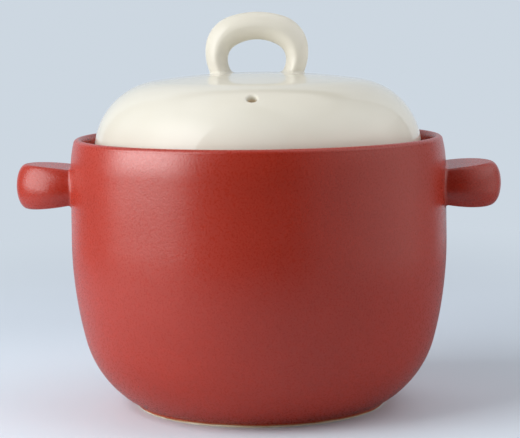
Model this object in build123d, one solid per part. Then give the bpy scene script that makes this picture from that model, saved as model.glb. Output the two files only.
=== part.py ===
"""Covered stoneware cooking pot: a round-bottomed pot with two solid ears, and a domed lid with a loop.

Millimetres. The origin is on the table at the middle of the foot, +Z is up, the ears stand out
along X and the steam hole of the lid faces -Y. Every piece is clay that was formed by itself, and
all of them are luted to the pot or to the lid before the firing. Only the lid is loose.
"""

import os
from math import acos, asin, atan2, cos, degrees, hypot, radians, sin, sqrt, tan

from build123d import *

# Pot wall, from the table up
body_radius = 105.0
body_wall = 7.0
rim_height = 150.2
belly_start_share = 0.619
belly_radius = 225.4
heel_radius = 56.9
wall_lean_angle = 0.55
floor_thickness = 8.0
floor_corner_radius = 14.0

# Foot, the ring of bare clay that the pot stands on
foot_height = 2.0
foot_inset = 34.5
foot_width = 8.3
foot_taper = 1.1
foot_edge_rounding = 0.5

# Rim, which leans in a little and is rolled over to the inside
rim_lean_radius = 14.0
rim_lean_angle = 20.0
rim_roll_radius = 2.8

# Gutter between rim and lid, and the gallery that carries the lid
gutter_width = 7.0
gutter_corner_radius = 2.5
gallery_depth = 10.1
gallery_thickness = 5.0
gallery_nose_rounding = 1.0
gallery_underside_angle = 42.0

# Lid, which rests on the gallery
lid_seat_width = 5.8
lid_seat_gap = 0.3
lid_wall = 6.5
lid_side_height = 2.2
lid_edge_rounding = 1.8
shoulder_radius = 39.3
crown_bulge = 3.8

# Flange under the lid, which keeps it in the middle of the gallery
flange_clearance = 1.3
flange_thickness = 5.2
flange_depth = 9.0
flange_rounding = 1.6
flange_root_rounding = 1.0

# Steam hole, bored square to the shoulder of the lid
steam_hole_radius = 2.6
steam_hole_inset = 18.2
steam_hole_rounding = 1.4

# Loop on the lid, seen from the front
loop_height = 33.5
loop_half_width = 28.7
loop_depth = 14.6
loop_bar_height = 15.2
loop_side_thickness = 12.5
loop_top_radius = 46.0
loop_shoulder_radius = 18.0
loop_straight = 4.4
loop_lean_radius = 28.0
loop_lean_angle = 20.0
loop_inner_top_radius = 24.0
loop_inner_shoulder_radius = 8.6
loop_inner_straight = 1.0
loop_inner_lean_radius = 13.0
loop_inner_lean_angle = 30.0
loop_rounding_share = 0.46
loop_collar_radius = 1.6

# Ears, one solid lug on either side of the pot
ear_length = 31.3
ear_nose_depth = 6.4
ear_straight = 2.0
ear_half_width = 22.3
ear_side_bulge = 2.0
ear_tip_height = 26.1
ear_taper = 6.0
ear_top_drop = 1.9
ear_top_below_rim = 15.0
ear_fillet = 3.0
ear_section_angles = [-90, -72, -50, -25, 0, 25, 50, 72, 90]

# How far a tool or a root runs past the face that trims it
overrun = 20.0


def on_circle(centre, radius, angle):
    """Point of a circle in an outline plane, at an angle in degrees from the first axis."""
    return (
        centre[0] + radius * cos(radians(angle)),
        centre[1] + radius * sin(radians(angle)),
    )


def touching_circle(outer_centre, outer_radius, inner_radius, through):
    """Angle at which a circle that passes through a point leaves a larger one, and its centre."""
    reach = outer_radius - inner_radius
    away = hypot(through[0] - outer_centre[0], through[1] - outer_centre[1])
    opening = acos((reach**2 + away**2 - inner_radius**2) / (2 * reach * away))
    towards = atan2(through[1] - outer_centre[1], through[0] - outer_centre[0])
    angle = degrees(towards + opening)
    return angle, on_circle(outer_centre, reach, angle)


# Circles of the pot's outside, from the foot up to the rolled rim
foot_outer_radius = body_radius - foot_inset
foot_inner_radius = foot_outer_radius - foot_width
belly_start_height = belly_start_share * rim_height
belly_centre = (body_radius - belly_radius, belly_start_height)
heel_angle, heel_centre = touching_circle(
    belly_centre, belly_radius, heel_radius, (foot_outer_radius, foot_height)
)
foot_angle = degrees(
    atan2(foot_height - heel_centre[1], foot_outer_radius - heel_centre[0])
)
wall_start = on_circle(belly_centre, belly_radius, wall_lean_angle)
rim_roll_height = rim_height - rim_roll_radius
rim_lean_height = rim_roll_height - (rim_lean_radius - rim_roll_radius) * sin(
    radians(rim_lean_angle)
)
wall_end_height = rim_lean_height + rim_lean_radius * sin(radians(wall_lean_angle))
wall_lean = (wall_end_height - wall_start[1]) * tan(radians(wall_lean_angle))
wall_end = (wall_start[0] - wall_lean, wall_end_height)
rim_lean_centre = on_circle(wall_end, rim_lean_radius, 180 + wall_lean_angle)
rim_roll_centre = on_circle(
    rim_lean_centre, rim_lean_radius - rim_roll_radius, rim_lean_angle
)

# Heights and radii that follow from the sizes
wall_inner_radius = body_radius - body_wall
floor_height = foot_height + floor_thickness
rim_inner_radius = rim_roll_centre[0] - rim_roll_radius
gallery_height = rim_height - gallery_depth
lid_radius = rim_inner_radius - gutter_width
gallery_inner_radius = lid_radius - lid_seat_width
lid_seat_height = gallery_height + lid_seat_gap
flange_outer_radius = gallery_inner_radius - flange_clearance
flange_inner_radius = flange_outer_radius - flange_thickness
ear_top_height = rim_height - ear_top_below_rim
ear_middle_height = ear_top_height - ear_tip_height / 2


# Circles of the lid's outside: the crown is the one that touches both the top and the shoulder
shoulder_offset = lid_radius - shoulder_radius
shoulder_centre = (shoulder_offset, lid_seat_height + lid_side_height)
crown_drop = shoulder_radius + crown_bulge
lid_top_height = shoulder_centre[1] + crown_drop
crown_radius = (shoulder_offset**2 + crown_drop**2 - shoulder_radius**2) / (
    2 * crown_bulge
)
crown_centre = (0, lid_top_height - crown_radius)
shoulder_angle = degrees(acos(shoulder_offset / (crown_radius - shoulder_radius)))


def rounded(face, corners):
    """Face with the named corners filleted, each given as (place, radius)."""
    for place, radius in corners:
        corner = face.vertices().sort_by_distance(Vector(*place))[0]
        face = fillet(corner, radius)
    return face


def turned(face):
    """Solid that a face drawn as (distance from the axis, height) makes about Z."""
    return revolve(Plane.XZ * face, Axis.Z)


def luted(piece, carrier, radius):
    """Piece with a rounded root where it meets its carrier, and without the carrier."""
    joined = carrier + piece
    root = new_edges(carrier, piece, combined=joined)
    return fillet(root, radius) - carrier


def pot_outside():
    """Outside of the pot, from the middle of its base to the inner side of the rolled rim."""
    belly_turn = wall_lean_angle - heel_angle
    lean_turn = rim_lean_angle - wall_lean_angle
    roll_turn = 180 - rim_lean_angle
    return [
        Line((0, foot_height), (foot_outer_radius, foot_height)),
        CenterArc(heel_centre, heel_radius, foot_angle, heel_angle - foot_angle),
        CenterArc(belly_centre, belly_radius, heel_angle, belly_turn),
        Line(wall_start, wall_end),
        CenterArc(rim_lean_centre, rim_lean_radius, wall_lean_angle, lean_turn),
        CenterArc(rim_roll_centre, rim_roll_radius, rim_lean_angle, roll_turn),
    ]


def pot_body():
    """Pot without its foot: wall, rolled rim, gutter, gallery and floor."""
    inner_heel_radius = heel_radius - body_wall
    floor_angle = degrees(asin((floor_height - heel_centre[1]) / inner_heel_radius))
    nose_height = gallery_height - gallery_thickness
    overhang = wall_inner_radius - gallery_inner_radius
    slope_height = nose_height - overhang * tan(radians(gallery_underside_angle))

    gutter_corner = (rim_inner_radius, gallery_height)
    nose_top = (gallery_inner_radius, gallery_height)
    nose_bottom = (gallery_inner_radius, nose_height)
    slope_end = (wall_inner_radius, slope_height)
    floor_edge = on_circle(heel_centre, inner_heel_radius, floor_angle)
    inside = [
        Line((rim_inner_radius, rim_roll_height), gutter_corner),
        Line(gutter_corner, nose_top),
        Line(nose_top, nose_bottom),
        Line(nose_bottom, slope_end),
        Line(slope_end, (wall_inner_radius, belly_start_height)),
        CenterArc(belly_centre, belly_radius - body_wall, 0, heel_angle),
        CenterArc(heel_centre, inner_heel_radius, heel_angle, floor_angle - heel_angle),
        Line(floor_edge, (0, floor_height)),
        Line((0, floor_height), (0, foot_height)),
    ]
    corners = [
        (gutter_corner, gutter_corner_radius),
        (nose_top, gallery_nose_rounding),
        (nose_bottom, gallery_nose_rounding),
        (slope_end, body_wall),
        (floor_edge, floor_corner_radius),
    ]
    return turned(rounded(make_face(pot_outside() + inside), corners))


def foot_ring():
    """Ring of bare clay, a little narrower at the table than at the pot."""
    table_radius = foot_outer_radius - foot_taper
    outline = Polyline(
        (foot_inner_radius, 0),
        (table_radius, 0),
        (foot_outer_radius, foot_height),
        (foot_inner_radius, foot_height),
        close=True,
    )
    corners = [
        ((foot_inner_radius, 0), foot_edge_rounding),
        ((table_radius, 0), foot_edge_rounding),
    ]
    return turned(rounded(make_face(outline), corners))


def lid_dome():
    """Domed shell with a flat seat, a centring flange below it and a steam hole."""
    inner_shoulder = shoulder_radius - lid_wall
    inner_crown = crown_radius - lid_wall
    flange_foot_height = lid_seat_height - flange_depth
    flange_angle = degrees(acos((flange_inner_radius - shoulder_offset) / inner_shoulder))

    lid_edge = (lid_radius, lid_seat_height)
    flange_root = (flange_outer_radius, lid_seat_height)
    flange_outer_foot = (flange_outer_radius, flange_foot_height)
    flange_inner_foot = (flange_inner_radius, flange_foot_height)
    flange_top = on_circle(shoulder_centre, inner_shoulder, flange_angle)
    inner_turn = shoulder_angle - flange_angle
    outline = [
        CenterArc(crown_centre, crown_radius, 90, shoulder_angle - 90),
        CenterArc(shoulder_centre, shoulder_radius, shoulder_angle, -shoulder_angle),
        Line((lid_radius, shoulder_centre[1]), lid_edge),
        Line(lid_edge, flange_root),
        Line(flange_root, flange_outer_foot),
        Line(flange_outer_foot, flange_inner_foot),
        Line(flange_inner_foot, flange_top),
        CenterArc(shoulder_centre, inner_shoulder, flange_angle, inner_turn),
        CenterArc(crown_centre, inner_crown, shoulder_angle, 90 - shoulder_angle),
        Line((0, lid_top_height - lid_wall), (0, lid_top_height)),
    ]
    corners = [
        (lid_edge, lid_edge_rounding),
        (flange_root, flange_root_rounding),
        (flange_outer_foot, flange_rounding),
        (flange_inner_foot, flange_rounding),
        (flange_top, lid_wall),
    ]
    return with_steam_hole(turned(rounded(make_face(outline), corners)))


def with_steam_hole(shell):
    """Lid with the hole bored square to its shoulder, and the outer edge of the hole softened."""
    hole_radius = lid_radius - steam_hole_inset
    angle = degrees(acos((hole_radius - shoulder_offset) / shoulder_radius))
    mouth = on_circle(shoulder_centre, shoulder_radius, angle)
    mouth_place = Vector(0, -mouth[0], mouth[1])
    outward = (0, -cos(radians(angle)), sin(radians(angle)))
    drill = Plane(origin=mouth_place, z_dir=outward) * Cylinder(
        steam_hole_radius, 2 * overrun
    )
    bored = shell - drill
    edges = new_edges(shell, drill, combined=bored)
    outer_edge = edges.sort_by_distance(mouth_place)[0]
    return fillet(outer_edge, steam_hole_rounding)


def arch(top, top_radius, shoulder, half_width, straight, lean_radius, lean_angle):
    """Arch as a face: a flat arc on top, two shoulders, and legs that lean in down to the lid."""
    foot = lid_top_height - overrun
    turn = degrees(acos((half_width - shoulder) / (top_radius - shoulder)))
    shoulder_spot = on_circle((0, top - top_radius), top_radius - shoulder, turn)
    waist = shoulder_spot[1] - straight
    lean_spot = (half_width - lean_radius, waist)
    lean_end = on_circle(lean_spot, lean_radius, -lean_angle)
    foot_end = (lean_end[0] - (lean_end[1] - foot) * tan(radians(lean_angle)), foot)
    half = make_face(
        [
            CenterArc((0, top - top_radius), top_radius, 90, turn - 90),
            CenterArc(shoulder_spot, shoulder, turn, -turn),
            Line((half_width, shoulder_spot[1]), (half_width, waist)),
            CenterArc(lean_spot, lean_radius, 0, -lean_angle),
            Line(lean_end, foot_end),
            Line(foot_end, (0, foot)),
            Line((0, foot), (0, top)),
        ]
    )
    return half + mirror(half, Plane.YZ)


def lid_loop():
    """Loop of one thick round bar, with both feet luted to the crown of the lid."""
    outer = arch(
        lid_top_height + loop_height,
        loop_top_radius,
        loop_shoulder_radius,
        loop_half_width,
        loop_straight,
        loop_lean_radius,
        loop_lean_angle,
    )
    inner = arch(
        lid_top_height + loop_height - loop_bar_height,
        loop_inner_top_radius,
        loop_inner_shoulder_radius,
        loop_half_width - loop_side_thickness,
        loop_inner_straight,
        loop_inner_lean_radius,
        loop_inner_lean_angle,
    )
    plate = extrude(Plane.XZ * (outer - inner), loop_depth / 2, both=True)
    long_edges = plate.faces().filter_by(Axis.Y).edges()
    rounding = loop_rounding_share * min(loop_depth, loop_side_thickness)
    bar = fillet(long_edges, rounding)
    seam_between_feet = Rot(0, 0, 90)
    crown = Pos(0, 0, crown_centre[1]) * seam_between_feet * Sphere(crown_radius)
    around_feet = Pos(0, 0, lid_top_height) * Cylinder(2 * loop_half_width, 3 * overrun)
    return luted(bar, crown & around_feet, loop_collar_radius)


def ear_section(angle):
    """Outline of the ear on one plane of the fan that runs from its underside to its top."""
    nose_start = body_radius + ear_length - ear_nose_depth
    flat_length = nose_start - body_radius
    fan_length = (ear_tip_height - ear_taper) * flat_length / ear_taper
    fan_x = body_radius - fan_length
    fan_z = ear_top_height - ear_top_drop / flat_length * (nose_start - fan_x)
    rise = ear_middle_height + ear_tip_height / 2 * sin(radians(angle)) - fan_z
    slope = atan2(rise, nose_start - fan_x)

    bulge = cos(radians(angle))
    half_width = ear_half_width - ear_side_bulge * (1 - bulge)
    shoulder_x = body_radius + ear_straight - fan_x
    root_x = body_radius - overrun - fan_x
    nose_length = ear_length + ear_nose_depth * (bulge - 1) - ear_straight
    outline = [
        Line((root_x, -half_width), (shoulder_x, -half_width)),
        EllipticalCenterArc(
            (shoulder_x, 0), nose_length, half_width, start_angle=-90, arc_size=180
        ),
        Line((shoulder_x, half_width), (root_x, half_width)),
        Line((root_x, half_width), (root_x, -half_width)),
    ]
    blade = Plane(
        origin=(fan_x, 0, fan_z),
        x_dir=(cos(slope), 0, sin(slope)),
        z_dir=(-sin(slope), 0, cos(slope)),
    )
    return blade * make_face(outline)


def right_ear():
    """Ear on the +X side: flat above and below, thicker outwards, with a blunt rounded nose."""
    lug = loft([ear_section(angle) for angle in ear_section_angles])
    seam_away_from_ear = Rot(0, 0, 90)
    wall = Cylinder(body_radius, ear_tip_height + 2 * overrun)
    return luted(lug, Pos(0, 0, ear_middle_height) * seam_away_from_ear * wall, ear_fillet)


os.makedirs("parts", exist_ok=True)
ear = right_ear()
pieces = {
    "pot_body": pot_body(),
    "foot_ring": foot_ring(),
    "right_ear": ear,
    "left_ear": Rot(0, 0, 180) * ear,
    "lid_dome": lid_dome(),
    "lid_loop": lid_loop(),
}
for name, piece in pieces.items():
    export_step(piece, f"parts/{name}.step")
    print(name, round(piece.volume), "mm3")
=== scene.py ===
from math import asin, atan2, cos, degrees, hypot, pi, radians, sin, tan

import bmesh
import bpy
import numpy as np
from mathutils import Matrix


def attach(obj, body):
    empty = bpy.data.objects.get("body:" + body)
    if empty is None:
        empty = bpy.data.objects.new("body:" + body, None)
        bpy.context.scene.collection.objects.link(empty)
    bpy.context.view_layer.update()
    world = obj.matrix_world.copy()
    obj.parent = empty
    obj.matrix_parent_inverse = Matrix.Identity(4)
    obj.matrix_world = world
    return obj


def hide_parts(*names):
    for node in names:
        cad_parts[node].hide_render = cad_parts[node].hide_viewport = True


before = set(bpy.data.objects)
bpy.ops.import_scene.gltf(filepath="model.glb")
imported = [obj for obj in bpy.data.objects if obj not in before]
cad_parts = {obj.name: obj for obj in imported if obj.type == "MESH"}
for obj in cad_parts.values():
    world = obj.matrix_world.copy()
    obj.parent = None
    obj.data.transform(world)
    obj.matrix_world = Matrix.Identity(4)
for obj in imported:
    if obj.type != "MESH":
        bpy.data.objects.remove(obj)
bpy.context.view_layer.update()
mm = 0.001  # the sizes below are in millimetres, Blender works in metres
print("frame loaded:", len(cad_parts), "nodes")


# outlines, as points of (distance from the axis, height)
def arcPoints(centre, radius, start, end, step):
    count = max(2, int(abs(radians(end - start)) * radius / step) + 1)
    turn = np.radians(np.linspace(start, end, count + 1))
    return np.stack([centre[0] + radius * np.cos(turn), centre[1] + radius * np.sin(turn)], 1)


def linePoints(start, end, step):
    length = hypot(end[0] - start[0], end[1] - start[1])
    share = np.linspace(0, 1, max(1, int(length / step)) + 1)[:, None]
    return np.array(start) * (1 - share) + np.array(end) * share


def cornerPoints(before, corner, after, radius, step):
    # an arc that touches both legs of a corner
    corner = np.array(corner, float)
    legA = np.array(before, float) - corner
    legB = np.array(after, float) - corner
    legA /= np.linalg.norm(legA)
    legB /= np.linalg.norm(legB)
    half = np.arccos(np.clip(legA @ legB, -1, 1)) / 2
    middle = (legA + legB) / np.linalg.norm(legA + legB)
    centre = corner + middle * radius / sin(half)
    first = corner + legA * radius / tan(half) - centre
    last = corner + legB * radius / tan(half) - centre
    start = degrees(atan2(first[1], first[0]))
    end = degrees(atan2(last[1], last[0]))
    end += 360 * round((start - end) / 360)
    return arcPoints(centre, radius, start, end, step)


def joinedOutline(parts):
    # parts are (points, finish); a point that two parts share is kept once
    points, finishes = [parts[0][0][0]], []
    for part, finish in parts:
        for point in part:
            if np.linalg.norm(point - points[-1]) > 0.01:
                points.append(point)
                finishes.append(finish)
    return np.array(points), np.array(finishes)


# meshes
def turnedGrid(outline, segments):
    # rows follow the outline, columns go round the axis
    turn = np.linspace(0, 2 * pi, segments, endpoint=False)
    r, z = outline[:, 0][:, None], outline[:, 1][:, None]
    return np.stack([r * np.cos(turn), r * np.sin(turn), z + 0 * turn], 2)


def gridFaces(rows, columns, offset=0):
    # four-sided faces between the rows of a grid whose last column meets its first
    a = np.arange(rows - 1)[:, None] * columns
    b = np.arange(columns)[None, :]
    c = (b + 1) % columns
    faces = np.stack([a + b, a + c, a + columns + c, a + columns + b], 2)
    return faces.reshape(-1, 4) + offset


def cappedTube(rings):
    # points and faces of a tube whose two ends are closed by a fan of triangles
    count, around = rings.shape[:2]
    points = np.concatenate([rings.reshape(-1, 3), [rings[0].mean(0), rings[-1].mean(0)]])
    faces = [list(face) for face in gridFaces(count, around)]
    for cap, row in ((count * around, 0), (count * around + 1, count - 1)):
        faces += [[cap, row * around + k, row * around + (k + 1) % around] for k in range(around)]
    return points, faces


def buildPiece(name, points, faces, body, materials, finishes=None, merge=0.004):
    mesh = bpy.data.meshes.new(name)
    spots = (np.asarray(points).reshape(-1, 3) * mm).tolist()
    mesh.from_pydata(spots, [], [list(map(int, face)) for face in faces])
    for material in materials:
        mesh.materials.append(material)
    if finishes is not None:
        mesh.polygons.foreach_set("material_index", np.asarray(finishes, np.int32))
    work = bmesh.new()
    work.from_mesh(mesh)
    bmesh.ops.remove_doubles(work, verts=work.verts, dist=merge * mm)  # a row at a pole becomes one point
    bmesh.ops.recalc_face_normals(work, faces=work.faces)
    openEdges = sum(1 for edge in work.edges if len(edge.link_faces) != 2)
    if work.calc_volume(signed=True) < 0:
        bmesh.ops.reverse_faces(work, faces=work.faces)
    work.to_mesh(mesh)
    work.free()
    mesh.shade_smooth()
    piece = bpy.data.objects.new(name, mesh)
    bpy.context.scene.collection.objects.link(piece)
    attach(piece, body)
    print("piece:", name, len(mesh.vertices), "points,", openEdges, "open edges")
    return piece


# node helpers
def addNode(tree, kind, settings=None, values=None):
    node = tree.nodes.new(kind)
    for key, value in (settings or {}).items():
        setattr(node, key, value)
    for key, value in (values or {}).items():
        if isinstance(value, bpy.types.NodeSocket):
            tree.links.new(value, node.inputs[key])
        else:
            node.inputs[key].default_value = value
    return node


def newGroup(name, inputs, outputs):
    group = bpy.data.node_groups.new(name, "ShaderNodeTree")
    for label, kind, value in inputs:
        socket = group.interface.new_socket(label, in_out="INPUT", socket_type="NodeSocket" + kind)
        socket.default_value = value
    for label, kind in outputs:
        group.interface.new_socket(label, in_out="OUTPUT", socket_type="NodeSocket" + kind)
    return group, group.nodes.new("NodeGroupInput").outputs, group.nodes.new("NodeGroupOutput").inputs


def maths(tree, operation, a, b=0.0):
    return addNode(tree, "ShaderNodeMath", {"operation": operation}, {0: a, 1: b}).outputs[0]


def mixedColour(tree, share, a, b, blend="MIX"):
    node = addNode(tree, "ShaderNodeMix", {"data_type": "RGBA", "blend_type": blend}, {0: share, 6: a, 7: b})
    return node.outputs[2]


def remapped(tree, value, low, high, toLow=0.0, toHigh=1.0):
    values = {0: value, 1: low, 2: high, 3: toLow, 4: toHigh}
    return addNode(tree, "ShaderNodeMapRange", {"interpolation_type": "SMOOTHSTEP"}, values).outputs[0]


def newMaterial(name):
    material = bpy.data.materials.new(name)
    material.use_nodes = True
    tree = material.node_tree
    tree.nodes.clear()
    shader = tree.nodes.new("ShaderNodeBsdfPrincipled")
    output = addNode(tree, "ShaderNodeOutputMaterial", {"name": "Material Output"})
    tree.links.new(shader.outputs[0], output.inputs["Surface"])
    return material, tree, shader


def placeGroup(tree, group, values):
    return addNode(tree, "ShaderNodeGroup", {"node_tree": group}, values).outputs


def metres(tree):
    return addNode(tree, "ShaderNodeTexCoord").outputs["Object"]


def noiseAt(tree, place, scale, detail=2.0, roughness=0.5):
    values = {"Vector": place, "Scale": scale, "Detail": detail, "Roughness": roughness}
    return addNode(tree, "ShaderNodeTexNoise", None, values).outputs["Fac"]


def cellsAt(tree, place, scale):
    # distance to the nearest of many scattered points, and the chances that each of them draws
    cells = addNode(tree, "ShaderNodeTexVoronoi", {"feature": "F1"}, {"Vector": place, "Scale": scale})
    chances = addNode(tree, "ShaderNodeSeparateColor", None, {0: cells.outputs["Color"]})
    return cells.outputs["Distance"], chances.outputs


# orange peel of a fired glaze: slow waves, a fine skin and scattered pinholes, all as one height
skinForm = {
    "peelNoise": (2.5, 0.55), "waveNoise": (1.0, 0.4),  # detail and roughness
    "pinholesAbove": 0.93, "pinholeEdge": (0.05, 0.012),
}


def makeGlazeSkin():
    inputs = [("Peel Scale", "Float", 800.0), ("Peel Height", "Float", 0.5), ("Wave Scale", "Float", 60.0),
              ("Wave Height", "Float", 0.5), ("Pinhole Scale", "Float", 90.0), ("Pinhole Height", "Float", 0.5)]
    group, given, result = newGroup("GlazeSkin", inputs, [("Height", "Float")])
    place = metres(group)
    peel = noiseAt(group, place, given["Peel Scale"], *skinForm["peelNoise"])
    wave = noiseAt(group, place, given["Wave Scale"], *skinForm["waveNoise"])
    distance, chances = cellsAt(group, place, given["Pinhole Scale"])
    rare = maths(group, "GREATER_THAN", chances[0], skinForm["pinholesAbove"])
    pit = maths(group, "MULTIPLY", remapped(group, distance, *skinForm["pinholeEdge"]), rare)
    total = maths(group, "MULTIPLY", peel, given["Peel Height"])
    total = maths(group, "ADD", total, maths(group, "MULTIPLY", wave, given["Wave Height"]))
    total = maths(group, "SUBTRACT", total, maths(group, "MULTIPLY", pit, given["Pinhole Height"]))
    group.links.new(total, result["Height"])
    return group


# iron specks that burn through a glaze or lie in the clay
speckForm = {"bendScale": 900.0, "bend": 0.03, "leastSize": 0.35, "edge": (1.0, 0.6)}


def makeIronSpecks():
    inputs = [("Scale", "Float", 140.0), ("Share", "Float", 0.1), ("Size", "Float", 0.1)]
    group, given, result = newGroup("IronSpecks", inputs, [("Mask", "Float")])
    place = metres(group)
    bent = maths(group, "MULTIPLY", noiseAt(group, place, speckForm["bendScale"], 1.0), speckForm["bend"])
    distance, chances = cellsAt(group, place, given["Scale"])
    picked = maths(group, "LESS_THAN", chances[0], given["Share"])
    radius = maths(group, "MULTIPLY", given["Size"], maths(group, "ADD", chances[1], speckForm["leastSize"]))
    edge = maths(group, "ADD", distance, bent)
    spot = remapped(group, maths(group, "DIVIDE", edge, radius), *speckForm["edge"])
    group.links.new(maths(group, "MULTIPLY", spot, picked), result["Mask"])
    return group


noiseRange = (0.3, 0.7)  # most values of a noise lie between these
glazeSkin = makeGlazeSkin()
ironSpecks = makeIronSpecks()


def finishShader(tree, shader, look, colour, grain, height):
    roughness = remapped(tree, grain, *noiseRange, *look["roughness"])
    bump = addNode(tree, "ShaderNodeBump", None, {"Strength": 1.0, "Distance": look["relief"], "Height": height})
    tree.links.new(colour, shader.inputs["Base Color"])
    tree.links.new(roughness, shader.inputs["Roughness"])
    tree.links.new(bump.outputs[0], shader.inputs["Normal"])


# glazes; a cloud is the scale, detail and roughness of its noise
redLook = {
    "body": (0.40, 0.0305, 0.0145, 1), "deep": (0.38, 0.0285, 0.0135, 1), "thin": (0.45, 0.17, 0.05, 1),
    "speck": (0.035, 0.018, 0.014, 1), "speckShare": 1.0,
    "cloud": (22.0, 4.0, 0.6), "cloudRange": (0.3, 0.7), "grain": 900.0, "roughness": (0.245, 0.355),
    "skin": {"Peel Scale": 850.0, "Peel Height": 3.6, "Wave Scale": 45.0, "Wave Height": 1.2,
             "Pinhole Scale": 130.0, "Pinhole Height": 2.0},
    "specks": {"Scale": 95.0, "Share": 0.05, "Size": 0.055},
    "relief": 0.00003, "ior": 1.52,
}
creamLook = {
    "body": (0.70, 0.67, 0.585, 1), "deep": (0.69, 0.655, 0.56, 1),
    "speck": (0.28, 0.19, 0.11, 1), "speckShare": 0.6,
    "cloud": (18.0, 3.0, 0.55), "cloudRange": (0.35, 0.7), "grain": 120.0, "roughness": (0.022, 0.04),
    "skin": {"Peel Scale": 420.0, "Peel Height": 0.10, "Wave Scale": 70.0, "Wave Height": 0.9,
             "Pinhole Scale": 80.0, "Pinhole Height": 1.5},
    "specks": {"Scale": 80.0, "Share": 0.06, "Size": 0.035},
    "relief": 0.00002, "ior": 1.43,
}


def makeGlaze(name, look):
    material, tree, shader = newMaterial(name)
    place = metres(tree)
    skin = placeGroup(tree, glazeSkin, look["skin"])
    specks = placeGroup(tree, ironSpecks, look["specks"])["Mask"]
    cloud = remapped(tree, noiseAt(tree, place, *look["cloud"]), *look["cloudRange"])
    colour = mixedColour(tree, cloud, look["body"], look["deep"])
    if "thin" in look:  # the glaze runs thin along its lower edge
        thinness = addNode(tree, "ShaderNodeAttribute", {"attribute_name": "glazeThin"}).outputs["Fac"]
        colour = mixedColour(tree, thinness, colour, look["thin"])
    colour = mixedColour(tree, maths(tree, "MULTIPLY", specks, look["speckShare"]), colour, look["speck"])
    finishShader(tree, shader, look, colour, noiseAt(tree, place, look["grain"]), skin["Height"])
    shader.inputs["IOR"].default_value = look["ior"]
    return material


# bare clay of the foot, the gallery and the lid's seat
clayLook = {
    "body": (0.80, 0.69, 0.52, 1), "burnt": (0.66, 0.50, 0.33, 1),
    "grog": (0.88, 0.82, 0.70, 1), "grogShare": 0.5, "grogHeight": 0.6,
    "speck": (0.16, 0.10, 0.06, 1), "speckShare": 0.7,
    "cloud": (60.0, 5.0, 0.65), "cloudRange": (0.35, 0.75), "grain": (2200.0, 3.0, 0.7), "roughness": (0.82, 0.95),
    "specks": {"Scale": 420.0, "Share": 0.10, "Size": 0.3},
    "grains": {"Scale": 700.0, "Share": 0.3, "Size": 0.35},
    "relief": 0.0001,
}


def makeBareClay():
    look = clayLook
    material, tree, shader = newMaterial("bareClay")
    place = metres(tree)
    specks = placeGroup(tree, ironSpecks, look["specks"])["Mask"]
    grog = placeGroup(tree, ironSpecks, look["grains"])["Mask"]
    cloud = remapped(tree, noiseAt(tree, place, *look["cloud"]), *look["cloudRange"])
    grain = noiseAt(tree, place, *look["grain"])
    colour = mixedColour(tree, cloud, look["body"], look["burnt"])
    colour = mixedColour(tree, maths(tree, "MULTIPLY", grog, look["grogShare"]), colour, look["grog"])
    colour = mixedColour(tree, maths(tree, "MULTIPLY", specks, look["speckShare"]), colour, look["speck"])
    height = maths(tree, "ADD", grain, maths(tree, "MULTIPLY", grog, look["grogHeight"]))
    finishShader(tree, shader, look, colour, grain, height)
    return material


redGlaze = makeGlaze("redGlaze", redLook)
creamGlaze = makeGlaze("creamGlaze", creamLook)
bareClay = makeBareClay()
print("materials made")

# pot
pot = {
    "heelCentre": (42.995, 51.81), "heelRadius": 56.9, "heelAngle": -14.14,
    "bellyCentre": (-120.4, 92.974), "bellyRadius": 225.4,
    "wall": 7.0, "wallLean": 0.55, "wallFoot": (104.99, 95.137),
    "leanFrom": 134.0, "leanRadius": 60.0, "leanAngle": 14.0,
    "rimTop": 150.2, "rimInside": 98.15, "rollRadius": 2.7, "innerRoll": 4.2,
    "galleryHeight": 140.1, "galleryEdge": 85.449, "galleryUnder": 135.1, "gallerySlopeFoot": (98.0, 123.8),
    "gutterCorner": 2.5, "noseRounding": 1.0, "slopeRounding": 7.0, "slopeEnd": 121.0, "seatMargin": 0.8,
    "floorHeight": 10.0, "floorFilletX": 65.70, "floorFillet": 14.0, "floorFilletAngle": -50.8,
    "footHeight": 2.0, "heelFrom": 0.9, "heelTop": 30.0, "outside": 60.0,
    # the glaze's lip, from the foot of the heel and from the glaze's edge
    "lip": [(-0.95, 1.0), (-0.78, 0.25), (-0.55, 0.0), (-0.30, 0.04), (-0.12, 0.28), (-0.04, 0.65), (0.0, 1.06)],
    "glazeEdge": 1.0, "waveOver": 6.0, "thinFrom": 0.1, "thinOver": 0.9,
    "waves": [(0.13, 3, 0.4), (0.10, 7, 2.0), (0.07, 17, 0.0), (0.04, 31, 1.0)],  # height, count, start
    "pulls": [(0.10, 2, 0.5), (0.05, 3, -1.1)], "pullFrom": 4.0, "pullOver": 20.0,
    "throwing": 0.012, "throwingPitch": 0.21, "throwingSway": 1.5,
    "segments": 320, "step": 1.6, "fine": 0.8,
}
red, cream, clay = 0, 1, 2  # places in the pot's list of materials


def potWobble(turn, z):
    # how far hand and kiln have pulled the wall in, never out past its true size
    ring = sum(size * (1 - np.cos(count * turn + start)) for size, count, start in pot["pulls"])
    lines = 1 + np.sin(z * pot["throwingPitch"] + pot["throwingSway"] * np.sin(turn))
    return ring + pot["throwing"] * lines


def heelX(z):
    return pot["heelCentre"][0] + np.sqrt(pot["heelRadius"] ** 2 - (pot["heelCentre"][1] - z) ** 2)


def wallX(z):
    lean = np.maximum(z - pot["wallFoot"][1], 0) * tan(radians(pot["wallLean"]))
    return pot["wallFoot"][0] - lean


def glazeWave(turn):
    return sum(size * np.sin(count * turn + start) for size, count, start in pot["waves"])


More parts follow.
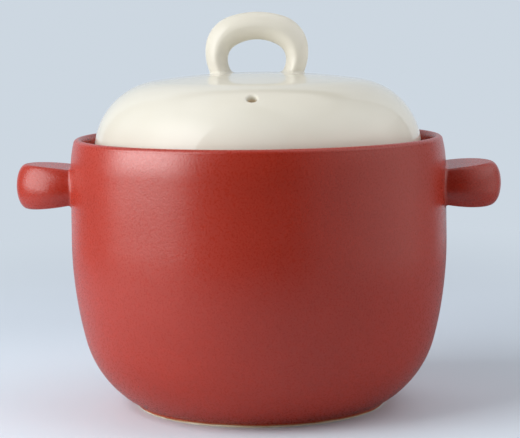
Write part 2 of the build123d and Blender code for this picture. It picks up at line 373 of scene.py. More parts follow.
def potOutline():
    # from the middle of the base up the outside, over the rim and down the inside to the floor
    p, step, fine = pot, pot["step"], pot["fine"]
    footZ, galleryZ, innerX = p["footHeight"], p["galleryHeight"], p["rimInside"]
    heelStart = degrees(asin((footZ + p["heelFrom"] - p["heelCentre"][1]) / p["heelRadius"]))
    footX = float(heelX(p["glazeEdge"] + p["lip"][-1][1]))
    lip = np.array([(footX + out, p["glazeEdge"] + up) for out, up in p["lip"]])

    # rim
    wallTop = (float(wallX(p["leanFrom"])), p["leanFrom"])
    lean = (wallTop[0] - p["leanRadius"], p["leanFrom"] - p["leanRadius"] * sin(radians(p["wallLean"])))
    leanEnd = lean[0] + p["leanRadius"] * cos(radians(p["leanAngle"]))
    roll = (leanEnd - p["rollRadius"] * cos(radians(p["leanAngle"])), p["rimTop"] - p["rollRadius"])
    share = np.radians(np.linspace(90, 180, 16))
    innerRoll = np.stack([roll[0] + (roll[0] - innerX) * np.cos(share),
                          p["rimTop"] - p["innerRoll"] * (1 - np.sin(share))], 1)

    # gutter, gallery and inside
    corner, rounding = p["gutterCorner"], p["noseRounding"]
    gutter, seatEdge = (innerX, galleryZ), (lid["radius"] + p["seatMargin"], galleryZ)
    noseTop, noseUnder = (p["galleryEdge"], galleryZ), (p["galleryEdge"], p["galleryUnder"])
    slope, floorEdge = p["gallerySlopeFoot"], (p["floorFilletX"], p["floorHeight"])
    innerWall = (slope[0], p["bellyCentre"][1])
    floorCentre = (floorEdge[0], p["floorHeight"] + p["floorFillet"])
    heelInside, bellyInside = p["heelRadius"] - p["wall"], p["bellyRadius"] - p["wall"]
    return joinedOutline([
        (linePoints((0, footZ), lip[0], 3), clay),
        (lip, red),
        (arcPoints(p["heelCentre"], p["heelRadius"], heelStart, p["heelAngle"], step), red),
        (arcPoints(p["bellyCentre"], p["bellyRadius"], p["heelAngle"], p["wallLean"], step), red),
        (linePoints(p["wallFoot"], wallTop, step), red),
        (arcPoints(lean, p["leanRadius"], p["wallLean"], p["leanAngle"], 0.6), red),
        (arcPoints(roll, p["rollRadius"], p["leanAngle"], 90, 0.3), red),
        (innerRoll, red),
        (linePoints(innerRoll[-1], (innerX, galleryZ + corner), fine), red),
        (cornerPoints((innerX, roll[1]), gutter, noseTop, corner, 0.4), red),
        (linePoints((innerX - corner, galleryZ), seatEdge, fine), red),
        (linePoints(seatEdge, (noseTop[0] + rounding, galleryZ), fine), clay),
        (cornerPoints(gutter, noseTop, noseUnder, rounding, 0.25), clay),
        (cornerPoints(noseTop, noseUnder, slope, rounding, 0.25), cream),
        (cornerPoints(noseUnder, slope, innerWall, p["slopeRounding"], fine), cream),
        (linePoints((slope[0], p["slopeEnd"]), innerWall, step), cream),
        (arcPoints(p["bellyCentre"], bellyInside, 0, p["heelAngle"], step), cream),
        (arcPoints(p["heelCentre"], heelInside, p["heelAngle"], p["floorFilletAngle"], step), cream),
        (arcPoints(floorCentre, p["floorFillet"], p["floorFilletAngle"], -90, step), cream),
        (linePoints(floorEdge, (0, p["floorHeight"]), 3), cream),
    ])


def buildPot():
    p = pot
    outline, finish = potOutline()
    turn = np.linspace(0, 2 * pi, p["segments"], endpoint=False)[None, :]
    r, z = outline[:, 0][:, None] + 0 * turn, outline[:, 1][:, None] + 0 * turn

    # the lower edge of the glaze wanders a little round the foot
    row = np.arange(len(outline))
    outside = (row > int(np.argmax(finish == red))) & (row < int(np.argmax(outline[:, 1])))
    fade = np.clip(1 - (z - p["footHeight"]) / p["waveOver"], 0, 1) * outside[:, None]
    rise = glazeWave(turn) * fade
    limits = (p["glazeEdge"] + p["lip"][-1][1], p["heelTop"])
    r = r + (heelX(np.clip(z + rise, *limits)) - heelX(np.clip(z, *limits))) * (fade > 0)
    z = z + rise
    r = r - potWobble(turn, z) * np.clip((z - p["pullFrom"]) / p["pullOver"], 0, 1) * (r > p["outside"])
    grid = np.stack([r * np.cos(turn), r * np.sin(turn), z], 2)
    piece = buildPiece("pot", grid, gridFaces(len(outline), p["segments"]), "pot",
                       [redGlaze, creamGlaze, bareClay], np.repeat(finish, p["segments"]))

    # how thin the glaze runs, for its colour
    spots = np.zeros(len(piece.data.vertices) * 3)
    piece.data.vertices.foreach_get("co", spots)
    x, y, z = spots.reshape(-1, 3).T / mm
    edge = p["glazeEdge"] + p["thinFrom"] + glazeWave(np.arctan2(y, x))
    value = np.clip(1 - (z - edge) / p["thinOver"], 0, 1) * (np.hypot(x, y) > p["outside"])
    thin = piece.data.attributes.new("glazeThin", "FLOAT", "POINT")
    thin.data.foreach_set("value", value.astype(np.float32))
    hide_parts("pot_body")


# lid
lid = {
    "radius": 91.249, "seat": 140.4, "edgeRounding": 1.8,
    "shoulderCentre": (51.949, 142.6), "shoulderRadius": 39.3, "shoulderAngle": 81.633,
    "crownCentre": (0.0, -210.586), "crownRadius": 396.286, "wall": 6.5,
    "flangeOuter": 84.149, "flangeInner": 78.949, "flangeFoot": 131.4, "flangeRounding": 1.6,
    "holeRadius": 2.6, "holeLip": 1.4, "holeFrom": 74.4, "holeDepths": (2.6, 3.8, 5.0), "holeRounding": 1.0,
    "holeCells": 8, "windowEase": 1.3, "segments": 400, "step": 1.1, "crownStep": 2.0, "rootRounding": 1.0,
    "joinDrop": 6.0, "joinTurn": 12.0,
}
glazed, bare, windowOut, windowIn = 0, 1, 3, 4  # finishes of the lid's rows; a window is cut for the hole


def buildLid():
    p = lid
    centre, radius, wall = p["shoulderCentre"], p["shoulderRadius"], p["wall"]
    cell = 2 * pi * p["holeFrom"] / p["segments"]
    holeAngle = degrees(np.arccos((p["holeFrom"] - centre[0]) / radius))
    reach = p["holeCells"] * cell / radius
    windowLow, windowHigh = holeAngle - degrees(reach), holeAngle + degrees(reach)
    window = np.linspace(windowHigh, windowLow, 2 * p["holeCells"] + 1)
    innerRadius = radius - wall
    flangeTurn = degrees(np.arccos((p["flangeInner"] - centre[0]) / innerRadius))
    edge, seatRoot = (p["radius"], p["seat"]), (p["flangeOuter"], p["seat"])
    outerFoot, innerFoot = (p["flangeOuter"], p["flangeFoot"]), (p["flangeInner"], p["flangeFoot"])
    flangeTop = (p["flangeInner"], centre[1] + innerRadius * sin(radians(flangeTurn)))

    def shoulder(angles, size):
        turn = np.radians(angles)
        return np.stack([centre[0] + size * np.cos(turn), centre[1] + size * np.sin(turn)], 1)

    drop, joinAt, root = flangeTop[1] - p["joinDrop"], flangeTurn + p["joinTurn"], p["rootRounding"]
    footRounding, innerCrown = p["flangeRounding"], p["crownRadius"] - wall
    outside = [
        (arcPoints(p["crownCentre"], p["crownRadius"], 90, p["shoulderAngle"], p["crownStep"]), glazed),
        (arcPoints(centre, radius, p["shoulderAngle"], windowHigh, p["step"]), glazed),
        (shoulder(window, radius), windowOut),
        (arcPoints(centre, radius, windowLow, 0, p["step"]), glazed),
        (cornerPoints((p["radius"], centre[1]), edge, seatRoot, p["edgeRounding"], 0.3), glazed),
        (linePoints((edge[0] - p["edgeRounding"], edge[1]), (seatRoot[0] + root, edge[1]), 1.0), bare),
        (cornerPoints(edge, seatRoot, outerFoot, root, 0.3), bare),
        (linePoints((seatRoot[0], edge[1] - root), (seatRoot[0], outerFoot[1] + footRounding), 1.0), bare),
        (cornerPoints(seatRoot, outerFoot, innerFoot, footRounding, 0.3), bare),
        (cornerPoints(outerFoot, innerFoot, flangeTop, footRounding, 0.3), glazed),
    ]
    inside = [
        (linePoints((innerFoot[0], innerFoot[1] + footRounding), (flangeTop[0], drop), 1.0), glazed),
        (softJoin((flangeTop[0], drop), flangeTop, shoulder([joinAt], innerRadius)[0]), glazed),
        (shoulder(np.linspace(joinAt, windowLow, 6), innerRadius), glazed),
        (shoulder(window[::-1], innerRadius), windowIn),
        (arcPoints(centre, innerRadius, windowHigh, p["shoulderAngle"], p["step"]), glazed),
        (arcPoints(p["crownCentre"], innerCrown, p["shoulderAngle"], 90, p["crownStep"]), glazed),
    ]
    outline, finish = joinedOutline(outside + inside)
    segments, half = p["segments"], p["holeCells"]
    grid = turnedGrid(outline, segments)
    faces = gridFaces(len(outline), segments).reshape(-1, segments, 4)
    middle = round(segments * 0.75)  # the column that faces -Y
    columns = np.arange(middle - half, middle + half)
    keep = np.ones(faces.shape[:2], bool)
    for tag in (windowOut, windowIn):
        rows = np.where(finish == tag)[0]
        keep[np.ix_(rows, columns)] = False
    faceFinish = np.where(finish == bare, bare, glazed)[:, None] + np.zeros(faces.shape[:2], int)
    points = grid.reshape(-1, 3)
    allFaces, allFinish = [faces[keep]], [faceFinish[keep]]

    # rings that lead from the square window round the hole to its mouth, and down through the wall
    side = np.arange(-half, half)
    walk = [(-half, s) for s in side] + [(s, half) for s in side]
    walk += [(half, -s) for s in side] + [(-s, -half) for s in side]
    walk = np.array(walk, float) * cell
    bearing = np.arctan2(walk[:, 1], walk[:, 0])
    around = np.stack([np.cos(bearing), np.sin(bearing)], 1)
    mouth, rounding = p["holeRadius"] + p["holeLip"], p["holeRounding"]
    rings = []
    for share in (1 - np.linspace(0, 1, 9)) ** p["windowEase"]:
        rings.append((walk * share + around * mouth * (1 - share), 0 * bearing))
    for angle in np.linspace(10, 90, 9):
        size = mouth - p["holeLip"] * sin(radians(angle))
        rings.append((around * size, 0 * bearing + p["holeLip"] * (1 - cos(radians(angle)))))
    boreFrom, boreRings = len(rings), 6  # three rings down the bore and three of its rounding
    for deep in p["holeDepths"]:
        rings.append((around * p["holeRadius"], 0 * bearing + deep))
    for angle in np.radians(np.linspace(0, 90, 5)):
        size = p["holeRadius"] + rounding * (1 - cos(angle))
        rings.append((around * size, 0 * bearing + wall - rounding + rounding * sin(angle)))
    for share in np.linspace(0, 1, 8)[1:]:
        rings.append((walk * share + around * (p["holeRadius"] + rounding) * (1 - share), 0 * bearing + wall))
    ringPoints = []
    for flat, deep in rings:
        slope = radians(holeAngle) - flat[:, 0] / radius
        out = np.stack([np.cos(slope), np.sin(slope)], 1)
        rz = np.array(centre) + out * (radius - deep)[:, None]
        spin = -pi / 2 + flat[:, 1] / p["holeFrom"]
        ringPoints.append(np.stack([rz[:, 0] * np.cos(spin), rz[:, 0] * np.sin(spin), rz[:, 1]], 1))
    patch = np.concatenate(ringPoints)
    allFaces.append(gridFaces(len(rings), len(walk), len(points)))
    ringFinish = np.zeros(len(rings) - 1, int)
    ringFinish[boreFrom:boreFrom + boreRings] = bare  # clay shows where the hole was pierced
    allFinish.append(np.repeat(ringFinish, len(walk)))
    piece = buildPiece("lidDome", np.concatenate([points, patch]), np.concatenate(allFaces), "lid",
                       [creamGlaze, bareClay], np.concatenate(allFinish), merge=0.02)
    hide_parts("lid_dome")


def softJoin(start, corner, end):
    # a quadratic curve that leaves both legs of a corner along them
    share = np.linspace(0, 1, 10)[:, None]
    start, corner, end = (np.array(v, float) for v in (start, corner, end))
    return start * (1 - share) ** 2 + 2 * corner * share * (1 - share) + end * share**2


buildPot()
buildLid()


# loop on the lid
loop = {
    "outerTop": 219.1, "outerHalf": 28.6, "outerTopRadius": 48.0, "outerShoulder": 19.6, "outerStraight": 1.5,
    "outerLean": 24.0, "outerLeanAngle": 25.0,
    "innerTop": 203.8, "innerHalf": 16.1, "innerTopRadius": 23.0, "innerShoulder": 8.6, "innerStraight": 0.5,
    "innerLean": 11.5, "innerLeanAngle": 36.0,
    "end": 170.0, "depth": 14.6, "halfThickness": 6.3, "roundness": 1.65, "around": 56, "step": 0.3,
    "collar": 1.6, "root": 2.5, "pivot": 197.0, "footFrom": 20.0, "settleOver": 8.0,
}


def archCurve(side):
    # the right half of an arch, from its crown down into the lid
    names = ("Top", "Half", "TopRadius", "Shoulder", "Straight", "Lean", "LeanAngle")
    top, half, topRadius, shoulder, straight, lean, leanAngle = (loop[side + name] for name in names)
    step, end = loop["step"], loop["end"]
    turn = degrees(np.arccos((half - shoulder) / (topRadius - shoulder)))
    centre = (0, top - topRadius)
    spot = (half - shoulder, centre[1] + (topRadius - shoulder) * sin(radians(turn)))
    waist = (half, spot[1] - straight)
    curve = [arcPoints(centre, topRadius, 90, turn, step),
             arcPoints(spot, shoulder, turn, 0, step),
             linePoints((half, spot[1]), waist, step),
             arcPoints((half - lean, waist[1]), lean, 0, -leanAngle, step)]
    last = curve[-1][-1]
    curve.append(linePoints(last, (last[0] - (last[1] - end) * tan(radians(leanAngle)), end), step))
    return np.concatenate(curve)


def crownHeight(x, y):
    p = lid
    return p["crownCentre"][1] + np.sqrt(p["crownRadius"] ** 2 - x**2 - y**2)


def filletOut(distance, radius):
    # how far a rounded root stands off the piece at a distance from what carries it
    d = np.clip(distance, 0, radius)
    return radius - np.sqrt(np.maximum(radius**2 - (radius - d) ** 2, 0))


def buildLoop():
    p = loop
    outer, inner = archCurve("outer"), archCurve("inner")
    stations = []
    for angle in np.linspace(0, 90, 46):
        pair = []
        for curve in (outer, inner):
            bearing = np.degrees(np.arctan2(curve[:, 0], curve[:, 1] - p["pivot"]))
            pair.append((np.interp(angle, bearing, curve[:, 0]), np.interp(angle, bearing, curve[:, 1])))
        stations.append((pair[0], pair[1], None))
    low = float(crownHeight(p["footFrom"], 0.0))
    heights = np.concatenate([np.linspace(p["pivot"] - low - 0.7, p["collar"] + 0.6, 10),
                              p["collar"] * (1 - np.sin(np.radians(np.linspace(0, 90, 9)))), [-0.25, -p["root"]]])
    for above in heights:
        pair = []
        for curve in (outer, inner):
            pair.append((np.interp(-(low + above), -curve[:, 1], curve[:, 0]), low + above))
        stations.append((pair[0], pair[1], above))
    turn = np.linspace(0, 2 * pi, p["around"], endpoint=False)
    power = 2 / p["roundness"]
    across = np.sign(np.cos(turn)) * np.abs(np.cos(turn)) ** power
    along = np.sign(np.sin(turn)) * np.abs(np.sin(turn)) ** power
    bulge = p["roundness"] - 1
    normal = np.stack([np.sign(across) * np.abs(across) ** bulge / p["halfThickness"],
                       np.sign(along) * np.abs(along) ** bulge / (p["depth"] / 2)], 1)
    normal /= np.linalg.norm(normal, axis=1)[:, None]
    half = []
    for out, into, above in stations:
        out, into = np.array(out), np.array(into)
        middle, arm = (out + into) / 2, (out - into) / 2
        x, z = middle[0] + arm[0] * across, middle[1] + arm[1] * across
        y = p["depth"] / 2 * along
        if above is not None:
            flare = float(filletOut(above, p["collar"])) if above > -0.1 else p["collar"] + 0.05
            x, y = x + flare * normal[:, 0], y + flare * normal[:, 1]
            settle = np.clip(1 - above / p["settleOver"], 0, 1)  # the last rings lie along the crown
            z = z + settle * (crownHeight(x, y) - low)
        half.append(np.stack([x, y, z], 1))
    half = np.array(half)
    other = half[1:][::-1] * np.array([-1, 1, 1])
    points, faces = cappedTube(np.concatenate([other, half]))
    piece = buildPiece("lidLoop", points, faces, "lid", [creamGlaze])
    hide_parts("lid_loop")


buildLoop()

# ears: the same form twice, each a little its own as luted on by hand
ear = {
    "noseDepth": 6.4, "straight": 2.0, "halfWidth": 22.3, "sideBulge": 4.6, "bulgeShift": 0.15, "ridge": 1.0,
    "top": 135.2, "bow": 0.3, "fillet": 1.9, "root": 2.5, "rootOver": 12.0, "corner": 16, "flat": 22,
    "sheetFrom": 20.0, "crowding": 4.0, "crowdAngle": 88.5, "tipEase": 1.6,
}
ears = {
    "earRight": {"node": "right_ear", "turned": False, "length": 30.3, "lift": -0.1, "height": 24.2, "taper": 4.5,
                 "topDrop": 1.9, "twist": 4.4},
    "earLeft": {"node": "left_ear", "turned": True, "length": 31.1, "lift": 0.65, "height": 25.1, "taper": 5.4,
                "topDrop": 2.3, "twist": -1.0},
}
wallAtEar = 105.0  # distance of the wall from the axis


def earSheet(t, y):
    # distance from the axis of the sheet at t: it follows the wall at the root and is flat at the tip
    sag = wallAtEar - np.sqrt(wallAtEar**2 - y**2)
    ease = np.clip(t / ear["sheetFrom"], 0, 1)
    return wallAtEar + t - sag * (1 - ease**2 * (3 - 2 * ease))


def earHeight(p, x, lift):
    # the upper face (lift 1) and the lower one (lift -1) fan out from a point behind the wall
    flat = p["length"] - p["noseDepth"]
    noseX = wallAtEar + flat
    fanX = wallAtEar - (p["height"] - p["taper"]) * flat / p["taper"]
    fanZ = p["top"] - p["topDrop"] / flat * (noseX - fanX)
    middle = p["top"] - p["height"] / 2
    share = np.clip((x - wallAtEar) / flat, 0, 1)
    bow = p["bow"] * 4 * share * (1 - share) * lift
    return p["lift"] + fanZ + (middle + p["height"] / 2 * lift - fanZ) * (x - fanX) / (noseX - fanX) + bow


def flankDepth(p, level):
    # how far the flank lies inside its widest line, from the middle (0) to the ridge (1)
    corner = np.clip(p["ridge"] - (1 - np.abs(level)) * p["height"] / 2, 0, p["ridge"])
    return p["sideBulge"] * (level + p["bulgeShift"]) ** 2 + p["ridge"] - np.sqrt(p["ridge"] ** 2 - corner**2)


def earRing(p, t):
    lean = np.linspace(0, 1, p["corner"] + 1) * radians(p["crowdAngle"])
    lift = np.arctan(p["crowding"] * np.tan(lean))  # the points crowd together towards the ridge
    lift /= lift[-1]
    reach = p["length"] - p["straight"]
    beyond = (t - p["straight"]) if t > p["sheetFrom"] else 0
    most = pi / 2
    if beyond > reach - p["noseDepth"]:
        most = np.arccos(np.clip(1 - (reach - beyond) / p["noseDepth"], -1, 1))
    theta = np.concatenate([-lift[::-1], lift[1:]]) * most
    width = p["halfWidth"] - flankDepth(p, np.sin(theta))
    nose = reach - p["noseDepth"] * (1 - np.cos(theta))
    y = width.copy()
    for _ in range(30):
        along = np.clip((earSheet(t, y) - wallAtEar - p["straight"]) / nose, 0, 1)
        y = width * np.sqrt(np.maximum(1 - along**2, 0))
    side = np.stack([y, np.sin(theta)], 1)
    edge = side[-1, 0]
    flatY = np.linspace(1, -1, p["flat"] + 2)[1:-1]
    upper = np.stack([edge * flatY, 0 * flatY + side[-1, 1]], 1)
    lower = np.stack([-side[0, 0] * flatY, 0 * flatY + side[0, 1]], 1)
    mirrored = side[::-1] * np.array([-1, 1])
    loopYL = np.concatenate([side, upper, mirrored, lower])
    far = earSheet(t, loopYL[:, 0])
    z = earHeight(p, far, loopYL[:, 1])
    return loopYL[:, 0], z, far


def buildEar(name):
    p = {**ear, **ears[name]}
    tip, sheet = p["length"], p["sheetFrom"]
    fillet = p["fillet"] * (1 - np.cos(np.radians(np.linspace(0, 90, 10)[1:])))
    body = np.linspace(p["fillet"] + 1, sheet, 14)
    nose = tip - (tip - sheet) * np.cos(np.radians(np.linspace(0, 90, 34)[1:])) ** p["tipEase"]
    levels = np.concatenate([[-p["root"], -0.3, 0.0], fillet, body, nose[:-1], [tip - 0.004]])
    twist = radians(p["twist"])
    middle = p["top"] - p["height"] / 2 + p["lift"]
    rings = []
    for t in levels:
        y, z, x = earRing(p, max(t, 0.0))
        if t < p["fillet"]:
            dy, dz = np.roll(y, -1) - np.roll(y, 1), np.roll(z, -1) - np.roll(z, 1)
            size = np.hypot(dy, dz) + 1e-9
            flare = float(filletOut(t, p["fillet"])) if t > -0.1 else p["fillet"] + 0.02
            y, z = y + dz / size * flare, z - dy / size * flare
        above = z - middle
        y, z = y * cos(twist) - above * sin(twist), middle + y * sin(twist) + above * cos(twist)
        x = earSheet(t, y)
        near = np.clip(1 - t / p["rootOver"], 0, 1)  # the root lies on the wall as it really is
        side = np.arctan2(y, x) + (pi if p["turned"] else 0)
        x = x + near * (wallX(z) - wallAtEar - potWobble(side, z))
        rings.append(np.stack([x, y, z], 1))
    points, faces = cappedTube(np.array(rings))
    if p["turned"]:
        points = points * np.array([-1, -1, 1])
    piece = buildPiece(name, points, faces, "pot", [redGlaze], merge=0.01)
    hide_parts(p["node"])


for earName in ears:
    buildEar(earName)

# foot ring; its outer side rises a little behind the lip of the glaze
foot = {"outer": 70.1, "inner": 62.2, "tableOuter": 69.5, "height": 2.0, "rise": 0.6, "edge": 0.45,
        "seam": 3.0, "step": 0.8, "roundStep": 0.12, "segments": 320}


def buildFoot():
    p = foot
    edge, fine = p["edge"], p["roundStep"]
    seam, top = (p["inner"] + p["seam"], p["height"]), (p["inner"], p["height"])
    inner, outer, rim = (p["inner"], 0), (p["tableOuter"], 0), (p["outer"], p["height"] + p["rise"])
    outline, _ = joinedOutline([
        (linePoints(seam, top, p["step"]), 0),
        (cornerPoints(top, inner, outer, edge, fine), 0),
        (linePoints((inner[0] + edge, 0), (outer[0] - edge, 0), 0.7), 0),
        (cornerPoints(inner, outer, rim, edge, fine), 0),
        (linePoints((outer[0] + 0.12, 0.5), rim, 0.3), 0),
        (linePoints(rim, seam, p["step"]), 0),
    ])
    grid = turnedGrid(outline, p["segments"])
    piece = buildPiece("footRing", grid, gridFaces(len(outline), p["segments"]), "pot", [bareClay])
    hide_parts("foot_ring")


buildFoot()
print("pieces made")

# stage: a pale table top that melts into the backdrop's colour towards its edges
stage = {
    "side": 0.5, "front": 0.42, "back": 0.9,
    "near": (0.76, 0.84, 0.92, 1), "paintedShadeColour": (0.60, 0.66, 0.74, 1), "far": (0.610, 0.680, 0.752, 1),
    "shadeFrom": -0.08, "shadeTo": 0.28, "meltFrom": 0.28, "meltTo": 0.97,
    "mirrored": (0.68, 0.38), "mirroredSpan": 0.25,  # painted reflection light: how bright it looks in the glaze, brighter on the left by the softbox, darker on the right
    "grainScale": 3.0, "grain": (0.985, 1.015), "roughness": 0.6, "specular": 0.25, "corners": 96,
}


def seenDirectly(tree):
    # 1 for rays that come from the camera or through glass
    path = addNode(tree, "ShaderNodeLightPath").outputs
    return maths(tree, "MAXIMUM", path["Is Camera Ray"], path["Is Transmission Ray"])


def makeStage():
    s = stage
    turn = np.linspace(0, 2 * pi, s["corners"], endpoint=False)
    points = [(s["side"] * cos(a), (s["back"] if sin(a) > 0 else s["front"]) * sin(a), 0.0) for a in turn]
    mesh = bpy.data.meshes.new("floor")
    mesh.from_pydata(points, [], [list(range(len(points)))])
    floor = bpy.data.objects.new("floor", mesh)
    bpy.context.scene.collection.objects.link(floor)
    material, tree, shader = newMaterial("paleFloor")
    place = metres(tree)
    x, y, _ = addNode(tree, "ShaderNodeSeparateXYZ", None, {0: place}).outputs
    along = maths(tree, "MAXIMUM", maths(tree, "DIVIDE", y, s["back"]), maths(tree, "DIVIDE", y, -s["front"]))
    across = maths(tree, "DIVIDE", x, s["side"])
    ovalSquare = maths(tree, "ADD", maths(tree, "POWER", along, 2.0), maths(tree, "MULTIPLY", across, across))
    distance = maths(tree, "SQRT", ovalSquare)
    grain = remapped(tree, noiseAt(tree, place, s["grainScale"]), *noiseRange, *s["grain"])
    # painted shade: the table top's colour darkens from the front towards the back, where less light falls
    colour = mixedColour(tree, remapped(tree, y, s["shadeFrom"], s["shadeTo"]), s["near"], s["paintedShadeColour"])
    colour = mixedColour(tree, 1.0, colour, grain, "MULTIPLY")
    # painted reflection light: for glossy rays the table top's colour is dimmed from left to right, brighter
    # towards the softbox
    glossy = addNode(tree, "ShaderNodeLightPath").outputs["Is Glossy Ray"]
    paintedReflectionShade = remapped(tree, x, -s["mirroredSpan"], s["mirroredSpan"], *s["mirrored"])
    paintedReflectionColour = mixedColour(tree, 1.0, colour, paintedReflectionShade, "MULTIPLY")
    colour = mixedColour(tree, glossy, colour, paintedReflectionColour)
    tree.links.new(colour, shader.inputs["Base Color"])
    shader.inputs["Roughness"].default_value = s["roughness"]
    shader.inputs["Specular IOR Level"].default_value = s["specular"]
    glow = addNode(tree, "ShaderNodeEmission", None, {"Color": s["far"], "Strength": 1.0})
    melt = maths(tree, "MULTIPLY", remapped(tree, distance, s["meltFrom"], s["meltTo"]), seenDirectly(tree))
    both = addNode(tree, "ShaderNodeMixShader", None, {0: melt})
    tree.links.new(shader.outputs[0], both.inputs[1])
    tree.links.new(glow.outputs[0], both.inputs[2])
    tree.links.new(both.outputs[0], tree.nodes["Material Output"].inputs["Surface"])
    mesh.materials.append(material)


makeStage()

# light: lamps, and the room round the pot as patches of the world, by bearing and height in degrees
cloth = (0.98, 0.99, 1.0)
softboxPlace = {"bearing": -67.5, "distance": 1.05, "height": 0.715, "tilt": 14, "size": (1.12, 1.39),
                "colour": cloth}
softboxFade = {"across": (-0.5, 0.25, 0.05, 1.0), "up": (0.0, 0.5, 1.0, 0.25)}
lidPieces = ["lidDome", "lidLoop"]
lamps = {
    "softbox": {**softboxPlace, "power": 21.6, "rays": "both",
                "lights": ["pot", "earRight", "earLeft", "footRing", "floor"]},
    "softboxOnLid": {**softboxPlace, "distance": 1.07, "power": 20.0, "rays": "diffuse", "lights": lidPieces},
    "softboxSheen": {**softboxPlace, "distance": 1.03, "power": 19.0, "rays": "glossy", "lights": lidPieces,
                     "fade": True},
    "softboxCore": {"bearing": -66, "distance": 1.0, "height": 0.50, "tilt": 14, "size": (0.75, 0.55),
                    "power": 5.5, "colour": cloth, "rays": "glossy", "lights": ["pot"]},
    "lidFill": {"bearing": 12, "distance": 1.2, "height": 0.22, "tilt": 0, "size": (1.2, 1.0),
                "power": 5.15, "colour": cloth, "rays": "diffuse", "lights": lidPieces},
    "sideFill": {"bearing": 103, "distance": 1.1, "height": 0.30, "tilt": 8, "size": (0.8, 0.8),
                 "power": 1.7, "colour": (1.0, 1.0, 1.0), "rays": "diffuse", "lights": None},
}
room = {
    "ceilingLeft": {"bearing": (-190, -42), "height": (57, 100), "soft": 4, "turnSoft": 20,
                    "light": (0.68, 0.69, 0.70)},
    "ceilingRight": {"bearing": (42, 170), "height": (57, 100), "soft": 4, "turnSoft": 20,
                     "light": (1.22, 1.23, 1.24)},
    "backdrop": {"bearing": (140, 220), "height": (-30, 47), "soft": 1.5, "light": (0.60, 0.67, 0.74)},
    "rightCard": {"bearing": (32, 113), "height": (-30, 55), "soft": 3, "light": (0.40, 0.405, 0.41)},
    "rightGlow": {"bearing": (60, 116), "height": (-30, 55), "soft": 3, "turnSoft": 18,
                  "light": (0.38, 0.385, 0.39)},
    "rightHigh": {"bearing": (55, 135), "height": (20, 55), "soft": 5, "turnSoft": 14,
                  "light": (0.60, 0.605, 0.61)},
    "rightWall": {"bearing": (113, 138), "height": (-30, 55), "soft": 3, "light": (0.22, 0.23, 0.24)},
    "front": {"bearing": (-38, 30), "height": (-30, 42), "soft": 2, "light": (0.01, 0.01, 0.01)},
    "frontTop": {"bearing": (-38, 30), "height": (42, 58), "soft": 3, "light": (0.10, 0.10, 0.10)},
    "leftWall": {"bearing": (-97, -38), "height": (-30, 55), "soft": 3, "light": (0.30, 0.305, 0.31)},
    "leftBack": {"bearing": (-140, -97), "height": (-30, 55), "soft": 3, "light": (0.20, 0.21, 0.22)},
}


def roomPatch(tree, bearing, height, area):
    # one patch of the room, with soft edges
    middle = (area["bearing"][0] + area["bearing"][1]) / 2
    half = (area["bearing"][1] - area["bearing"][0]) / 2
    soft, turnSoft = area["soft"], area.get("turnSoft", area["soft"])
    off = addNode(tree, "ShaderNodeMath", {"operation": "WRAP"},
                  {0: maths(tree, "SUBTRACT", bearing, middle), 1: 180.0, 2: -180.0}).outputs[0]
    across = remapped(tree, maths(tree, "ABSOLUTE", off), half - turnSoft, half + turnSoft, 1.0, 0.0)
    low, high = area["height"]
    above = remapped(tree, height, low - soft, low + soft)
    below = remapped(tree, height, high - soft, high + soft, 1.0, 0.0)
    return maths(tree, "MULTIPLY", across, maths(tree, "MULTIPLY", above, below))


def makeRoom():
    world = bpy.data.worlds.new("room")
    world.use_nodes = True
    bpy.context.scene.world = world
    tree = world.node_tree
    tree.nodes.clear()
    way = addNode(tree, "ShaderNodeTexCoord").outputs["Generated"]
    x, y, z = addNode(tree, "ShaderNodeSeparateXYZ", None, {0: way}).outputs[:3]
    turn = maths(tree, "ARCTAN2", x, maths(tree, "MULTIPLY", y, -1.0))
    bearing = maths(tree, "DEGREES", turn)
    height = maths(tree, "DEGREES", maths(tree, "ARCSINE", z))
    total = (0.0, 0.0, 0.0)
    for name, area in room.items():
        patch = roomPatch(tree, bearing, height, area)
        light = addNode(tree, "ShaderNodeVectorMath", {"operation": "SCALE", "name": name},
                        {0: area["light"], "Scale": patch}).outputs[0]
        total = addNode(tree, "ShaderNodeVectorMath", {"operation": "ADD"}, {0: light, 1: total}).outputs[0]
    glow = addNode(tree, "ShaderNodeBackground", None, {"Color": total, "Strength": 1.0})
    seen = addNode(tree, "ShaderNodeBackground", None, {"Color": stage["far"], "Strength": 1.0})
    fromCamera = addNode(tree, "ShaderNodeLightPath").outputs["Is Camera Ray"]
    both = addNode(tree, "ShaderNodeMixShader", None, {0: fromCamera})
    tree.links.new(glow.outputs[0], both.inputs[1])
    tree.links.new(seen.outputs[0], both.inputs[2])
    output = addNode(tree, "ShaderNodeOutputWorld")
    tree.links.new(both.outputs[0], output.inputs["Surface"])


def alongFace(tree, offset, way):
    return addNode(tree, "ShaderNodeVectorMath", {"operation": "DOT_PRODUCT"}, {0: offset, 1: way}).outputs["Value"]


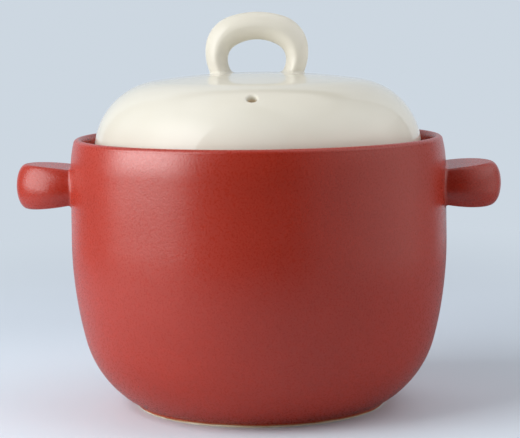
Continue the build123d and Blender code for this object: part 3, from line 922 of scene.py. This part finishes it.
def fadedFace(data, centre, tilt, bearing, size):
    # the cloth of the softbox grows dimmer towards its far side and its top
    data.use_nodes = True
    tree = data.node_tree
    tree.nodes.clear()
    place = addNode(tree, "ShaderNodeNewGeometry").outputs["Position"]
    offset = addNode(tree, "ShaderNodeVectorMath", {"operation": "SUBTRACT"}, {0: place, 1: centre}).outputs[0]
    across = alongFace(tree, offset, (cos(bearing) / size[0], sin(bearing) / size[0], 0))
    up = alongFace(tree, offset, (-sin(bearing) * sin(tilt) / size[1], cos(bearing) * sin(tilt) / size[1],
                                  cos(tilt) / size[1]))
    strength = maths(tree, "MULTIPLY", remapped(tree, across, *softboxFade["across"]),
                     remapped(tree, up, *softboxFade["up"]))
    glow = addNode(tree, "ShaderNodeEmission", None, {"Strength": strength})
    addNode(tree, "ShaderNodeOutputLight", None, {"Surface": glow.outputs[0]})


def makeLamp(name):
    # a lamp with a list of pieces lights those alone; its rays make the matt part of the light, the gloss or both
    p = lamps[name]
    data = bpy.data.lights.new(name, "AREA")
    data.shape = "RECTANGLE"
    data.size, data.size_y = p["size"]
    data.energy, data.color = p["power"], p["colour"]
    lamp = bpy.data.objects.new(name, data)
    bpy.context.scene.collection.objects.link(lamp)
    bearing = radians(p["bearing"])
    lamp.location = (p["distance"] * sin(bearing), -p["distance"] * cos(bearing), p["height"])
    lamp.rotation_euler = (radians(90 - p["tilt"]), 0, bearing)
    lamp.visible_camera = False
    lamp.visible_glossy = p["rays"] != "diffuse"
    lamp.visible_diffuse = p["rays"] != "glossy"
    if p.get("fade"):
        fadedFace(data, lamp.location, radians(p["tilt"]), bearing, p["size"])
    if p["lights"]:
        lit = bpy.data.collections.new(name + "Lights")
        for piece in p["lights"]:
            lit.objects.link(bpy.data.objects[piece])
        lamp.light_linking.receiver_collection = lit


makeRoom()
for lampName in lamps:
    makeLamp(lampName)

# camera
camera = {
    "distance": 1.0, "azimuth": 2.2, "height": 0.2207, "pitch": 6.695, "roll": 0.71, "yaw": 0.035,
    "focalPixels": 1791.5, "imageWidth": 520, "sensor": 36.0,
}


def makeCamera():
    c = camera
    data = bpy.data.cameras.new("camera")
    data.sensor_width = c["sensor"]
    data.lens = c["focalPixels"] / c["imageWidth"] * c["sensor"]
    data.clip_start, data.clip_end = 0.05, 20
    view = bpy.data.objects.new("camera", data)
    bpy.context.scene.collection.objects.link(view)
    around = radians(c["azimuth"])
    view.location = (c["distance"] * sin(around), -c["distance"] * cos(around), c["height"])
    turn = Matrix.Rotation(around - radians(c["yaw"]), 4, "Z") @ Matrix.Rotation(radians(90 - c["pitch"]), 4, "X")
    view.rotation_euler = (turn @ Matrix.Rotation(-radians(c["roll"]), 4, "Z")).to_euler()
    bpy.context.scene.camera = view


makeCamera()
bpy.context.scene.view_settings.view_transform = "Standard"
print("stage, lamps and camera made")
